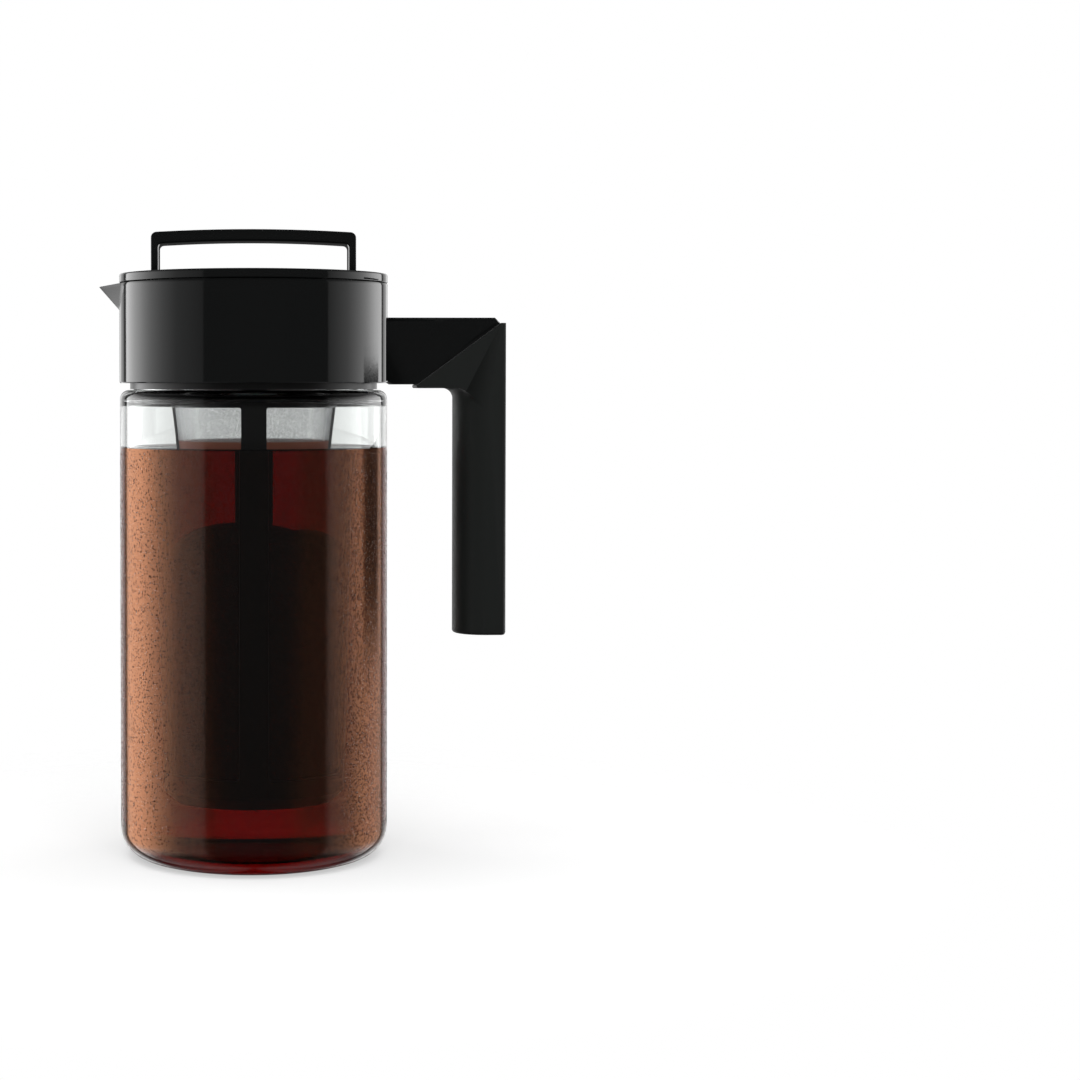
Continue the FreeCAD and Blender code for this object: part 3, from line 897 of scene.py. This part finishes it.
def build_beads(name, tree, water, low_angle, high_angle, density, seed):
    """Beads of condensation on one side of the jug, density of them to the square metre."""
    radius = jug_radius + drops_gap
    steps = 48
    vertices = []
    for k in range(steps + 1):
        angle = math.radians(low_angle + (high_angle - low_angle) * k / steps)
        for z in (drops_low, liquid_z - drops_below_liquid):
            vertices.append((radius * math.cos(angle), radius * math.sin(angle), z))
    faces = [(2 * k, 2 * k + 2, 2 * k + 3, 2 * k + 1) for k in range(steps)]
    band = new_object(name, vertices, faces, water)
    first = band.data.polygons[0]
    if first.normal.dot(first.center - Vector((0, 0, first.center.z))) < 0:
        band.data.flip_normals()
    run_tree(band, tree, {
        "Density": density,
        "Smallest": drop_smallest * MM,
        "Largest": drop_largest * MM,
        "Seed": seed,
    })
    band.data.shade_smooth()
    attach(band, "jug")


# ---- Light, floor and camera ---------------------------------------------------------
def between(tree, value, low, high):
    """One where the value lies between low and high, else nought."""
    above = add(tree, "ShaderNodeMath", [value, low], operation="GREATER_THAN")
    under = add(tree, "ShaderNodeMath", [value, high], operation="LESS_THAN")
    return add(tree, "ShaderNodeMath", [above, under], operation="MULTIPLY")


def studio_world():
    """White behind the object, and two tall softboxes at its sides, never seen straight.

    Their brightness goes by the turn from straight in front, as a share of half a turn. The
    right one has a narrow black card before it, which shows in the gloss of the condensation.
    """
    box_strength = 3.2
    room_strength = 0.045
    world = bpy.data.worlds.new("studio")
    bpy.context.scene.world = world
    world.use_nodes = True
    tree = world.node_tree
    place = add(tree, "ShaderNodeTexCoord").outputs["Generated"]
    x, y, z = add(tree, "ShaderNodeSeparateXYZ", {"Vector": place}).outputs

    forward = add(tree, "ShaderNodeMath", [y, -1.0], operation="MULTIPLY")
    turn = add(tree, "ShaderNodeMath", [x, forward], operation="ARCTAN2")
    right = add(tree, "ShaderNodeMath", [turn, math.pi], operation="DIVIDE")
    left = add(tree, "ShaderNodeMath", [turn, -math.pi], operation="DIVIDE")
    left_box = add(tree, "ShaderNodeValToRGB", {"Fac": left}, stops=[
        (0.0, 0.0), (0.238, 0.0), (0.239, 0.06), (0.38, 0.14), (0.46, 0.3), (0.54, 0.52),
        (0.63, 0.85), (0.73, 1.0), (0.775, 1.0), (0.785, 0.02), (0.812, 0.02), (0.822, 0.17),
        (0.89, 0.3), (0.93, 0.45), (0.95, 0.0), (1.0, 0.0),
    ])
    right_box = add(tree, "ShaderNodeValToRGB", {"Fac": right}, stops=[
        (0.0, 0.0), (0.366, 0.0), (0.367, 0.09), (0.48, 0.27), (0.57, 0.53), (0.67, 0.83),
        (0.71, 0.85), (0.785, 0.68), (0.795, 0.02), (0.812, 0.02), (0.822, 0.17), (0.89, 0.3),
        (0.93, 0.45), (0.95, 0.0), (1.0, 0.0),
    ])
    card_sides = between(tree, right, 0.6, 0.746)
    card_ends = between(tree, z, -0.1165, 0.008)
    card = add(tree, "ShaderNodeMath", [card_sides, card_ends], operation="MULTIPLY")
    uncovered = add(tree, "ShaderNodeMath", [1.0, card], operation="SUBTRACT")
    right_box = add(tree, "ShaderNodeMath", [right_box, uncovered], operation="MULTIPLY")
    boxes = add(tree, "ShaderNodeMath", [left_box, right_box], operation="ADD")
    boxes = add(tree, "ShaderNodeMath", [boxes, box_strength], operation="MULTIPLY")
    boxes = add(tree, "ShaderNodeMath", [boxes, room_strength], operation="ADD")

    # The boxes fade upwards and downwards.
    higher = add(tree, "ShaderNodeMapRange", [z, 0.12, 0.45, 1.0, 0.1])
    level = add(tree, "ShaderNodeMapRange", [z, -1.0, 1.0, 0.0, 1.0])
    lower = add(tree, "ShaderNodeValToRGB", {"Fac": level}, stops=[
        (0.0, 0.08), (0.17, 0.1), (0.275, 0.85), (0.475, 1.0), (1.0, 1.0),
    ])
    boxes = add(tree, "ShaderNodeMath", [boxes, higher], operation="MULTIPLY")
    boxes = add(tree, "ShaderNodeMath", [boxes, lower], operation="MULTIPLY")

    # The white is seen straight, through the clear parts, and mirrored once inside them.
    path = add(tree, "ShaderNodeLightPath").outputs
    depths = [path["Glossy Depth"], path["Diffuse Depth"]]
    bounces = add(tree, "ShaderNodeMath", depths, operation="ADD")
    straight = add(tree, "ShaderNodeMath", [bounces, 0.5], operation="LESS_THAN")
    mirrored = add(tree, "ShaderNodeMath", [bounces, 1.5], operation="LESS_THAN")
    behind = add(tree, "ShaderNodeMapRange", [y, 0.7, 0.85, 0.0, 0.4])
    mirrored = add(tree, "ShaderNodeMath", [mirrored, behind], operation="MULTIPLY")
    clear = add(tree, "ShaderNodeMath", [straight, mirrored], operation="MAXIMUM")
    through = [path["Is Transmission Ray"], clear]
    through = add(tree, "ShaderNodeMath", through, operation="MULTIPLY")
    seen = add(tree, "ShaderNodeMath", [path["Is Camera Ray"], through], operation="MAXIMUM")
    white = add(tree, "ShaderNodeBackground", {"Color": WHITE, "Strength": 1.0})
    light = tree.nodes["Background"]
    fill(light, {"Color": WHITE, "Strength": boxes})
    fill(tree.nodes["World Output"], {
        "Surface": add(tree, "ShaderNodeMixShader", [seen, light, white]),
    })


def floor_material():
    """White paper: matte, with a painted shade in the narrow gap under the jug, and faded out at
    its rim.
    """
    material, tree, shader = new_material("white_paper_floor")
    place = add(tree, "ShaderNodeTexCoord").outputs["Object"]
    metres_out = add(tree, "ShaderNodeVectorMath", [place], operation="LENGTH").outputs["Value"]
    seen = add(tree, "ShaderNodeLightPath").outputs["Is Camera Ray"]
    # Painted shade: dark brown under the jug's base corner, tinted like light that has passed
    # through the coffee.
    outside_painted_shade = add(tree, "ShaderNodeMapRange", [metres_out, 0.04, 0.049, 0.0, 1.0])
    fill(shader, {
        "Base Color": add(tree, "ShaderNodeMix", {
            "Factor": outside_painted_shade, "A": srgb("1a0d0a"), "B": srgb("e8e8e8"),
        }, data_type="RGBA"),
        "Roughness": 0.95,
        "Specular IOR Level": 0.0,
        "Emission Color": WHITE,
        "Emission Strength": add(tree, "ShaderNodeMath", [seen, 0.5], operation="MULTIPLY"),
        "Alpha": add(tree, "ShaderNodeMapRange", [metres_out, 0.09, 0.26, 1.0, 0.0]),
    })
    return material


def build_floor():
    count = 96
    turns = [FULL_TURN * k / count for k in range(count)]
    rim = [(floor_radius * MM * math.cos(a), floor_radius * MM * math.sin(a), 0.0) for a in turns]
    mesh = bpy.data.meshes.new("floor")
    mesh.from_pydata(rim, [], [tuple(range(count))])
    floor = placed("floor", mesh, floor_material())
    floor.visible_glossy = False
    floor.visible_transmission = False


def soft_light(name, size, power, place, aim):
    """Square lamp that is seen only by what it lights."""
    data = bpy.data.lights.new(name, "AREA")
    data.shape = "SQUARE"
    data.size = size
    data.energy = power
    light = bpy.data.objects.new(name, data)
    light.location = place
    light.rotation_euler = (Vector(aim) - Vector(place)).to_track_quat("-Z", "Y").to_euler()
    light.visible_camera = False
    light.visible_glossy = False
    light.visible_transmission = False
    bpy.context.scene.collection.objects.link(light)


def build_camera():
    """Level with the top of the jug and almost straight in front of it."""
    data = bpy.data.cameras.new("camera")
    data.sensor_width = 36.0
    data.lens = 74.3
    data.shift_x = 0.19
    data.shift_y = -0.08
    camera = bpy.data.objects.new("camera", data)
    camera.location = (0.0, -0.850, 0.179)
    camera.rotation_euler = (math.radians(90 - 1.77), 0.0, math.radians(-2.08))
    bpy.context.scene.collection.objects.link(camera)
    bpy.context.scene.camera = camera


# ---- Put it together -----------------------------------------------------------------
plastic_gloss = moulded_plastic(
    "black_gloss_plastic", "141515", rough_low=0.05, rough_high=0.09, grain=0.4, depth=0.004)
plastic_grip = moulded_plastic(
    "black_matte_grip", "1f2120", rough_low=0.42, rough_high=0.5, grain=2.5, depth=0.012)
plastic_infuser = moulded_plastic(
    "black_satin_plastic", "121212", rough_low=0.25, rough_high=0.35, grain=1.2, depth=0.006)
seal_rubber = silicone()
mesh_steel = woven_mesh()
water = water_drops()

build_jug(clear_plastic(), coffee_liquid(), condensation_film())
build_collar(plastic_gloss)
build_lid(plastic_gloss)
build_handle(plastic_gloss, plastic_grip)
build_screws(screw_steel())
build_grounds(coffee_grounds())
beads = bead_tree(water)
build_beads(
    "condensation_beads_right", beads, water,
    low_angle=-52, high_angle=50, density=1.3e6, seed=5)
build_beads(
    "condensation_beads_left", beads, water,
    low_angle=130, high_angle=232, density=0.9e6, seed=9)

solids_in_view = {
    "neck_gasket": seal_rubber,
    "collar_shelf": plastic_gloss,
    "neck_ring": plastic_infuser,
    "lid_plug": plastic_gloss,
    "infuser_socket": plastic_gloss,
    "lid_shelf_seal": seal_rubber,
    "rim_seal": seal_rubber,
    "infuser_seal": seal_rubber,
    "infuser_ring": plastic_infuser,
    "infuser_frame": plastic_infuser,
    "infuser_base": plastic_infuser,
    "mesh_panel_back_right": mesh_steel,
    "mesh_panel_back_left": mesh_steel,
    "mesh_panel_front_left": mesh_steel,
    "mesh_panel_front_right": mesh_steel,
}
for node, material in solids_in_view.items():
    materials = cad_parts[node].data.materials
    materials.clear()
    materials.append(material)

studio_world()
build_floor()
soft_light("overhead_softbox", size=0.9, power=6.0, place=(0.0, -0.1, 1.1), aim=(0.0, 0.0, 0.1))
soft_light("front_softbox", size=1.2, power=11.0, place=(0.1, -1.3, 0.45), aim=(0.0, 0.0, 0.12))
build_camera()
bpy.context.scene.view_settings.view_transform = "Standard"
